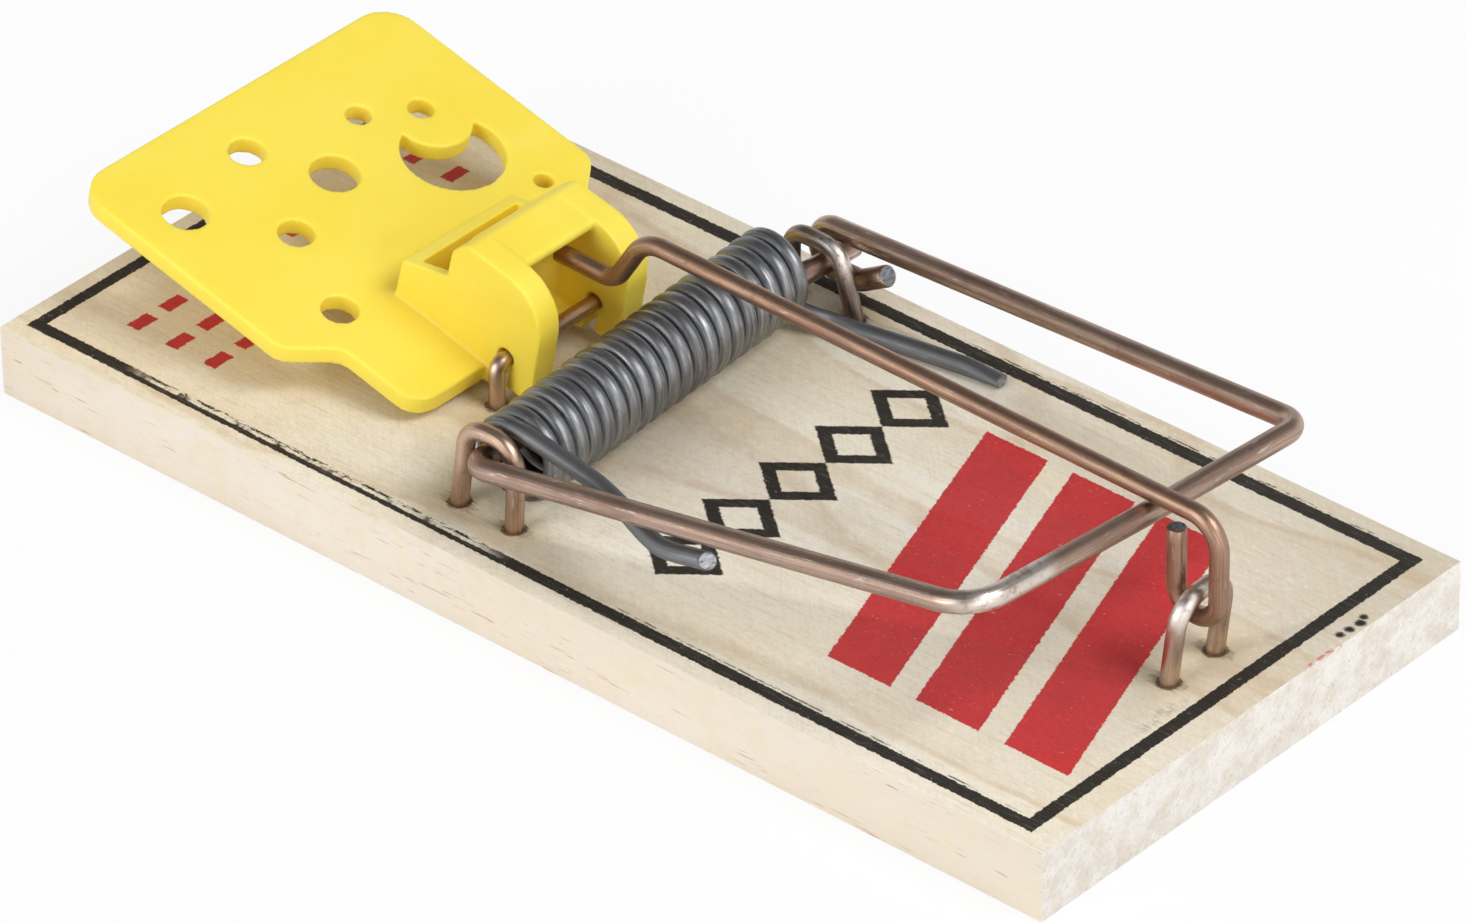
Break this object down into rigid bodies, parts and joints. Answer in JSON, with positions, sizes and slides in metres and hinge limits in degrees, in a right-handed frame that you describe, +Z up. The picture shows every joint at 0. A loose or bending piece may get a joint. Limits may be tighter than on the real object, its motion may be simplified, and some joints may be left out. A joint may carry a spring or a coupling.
{
  "type": "snap mouse trap",
  "caption": "Flat wooden snap trap, set: a bent wire hammer on a torsion spring, held down by a long wire bar whose tip sits under the lip of a tilting plastic pedal.",
  "frame": {"origin": "middle of the board's underside", "axes": "+X from the pedal end to the bar's staple, +Y from the near long edge to the far one, +Z up"},
  "size_m": [0.0984, 0.045, 0.0199],
  "materials": {
    "pine": "bare planed pine with printed line work",
    "copper_washed_wire": "drawn steel wire with a thin worn copper wash",
    "spring_steel": "drawn bare spring steel",
    "staple_wire": "drawn steel wire, lightly tarnished",
    "yellow_plastic": "moulded yellow plastic, soft gloss"
  },
  "bodies": {
    "base": {"base_board": "pine", "near_axle_staple": "staple_wire", "far_axle_staple": "staple_wire", "bar_staple": "staple_wire", "trigger_staple": "staple_wire", "torsion_spring": "spring_steel"},
    "hammer": {"hammer": "copper_washed_wire"},
    "hold_down_bar": {"hold_down_bar": "copper_washed_wire"},
    "trigger": {"trigger_pedal": "yellow_plastic"}
  },
  "joints": [
    {"name": "hammer_swing", "type": "hinge", "parent": "base", "child": "hammer", "pos_m": [-0.006, 0, 0.0101], "axis": [0, -0.9988, 0.0492], "range_deg": [0, 158], "deforming": ["torsion_spring"]},
    {"name": "bar_swing", "type": "hinge", "parent": "base", "child": "hold_down_bar", "pos_m": [0.04395, 0, 0.01275], "axis": [0, 1, 0], "range_deg": [0, 160]},
    {"name": "pedal_tilt", "type": "hinge", "parent": "base", "child": "trigger", "pos_m": [-0.015, 0, 0.0093], "axis": [0, -1, 0], "range_deg": [0, 14.5]}
  ]
}
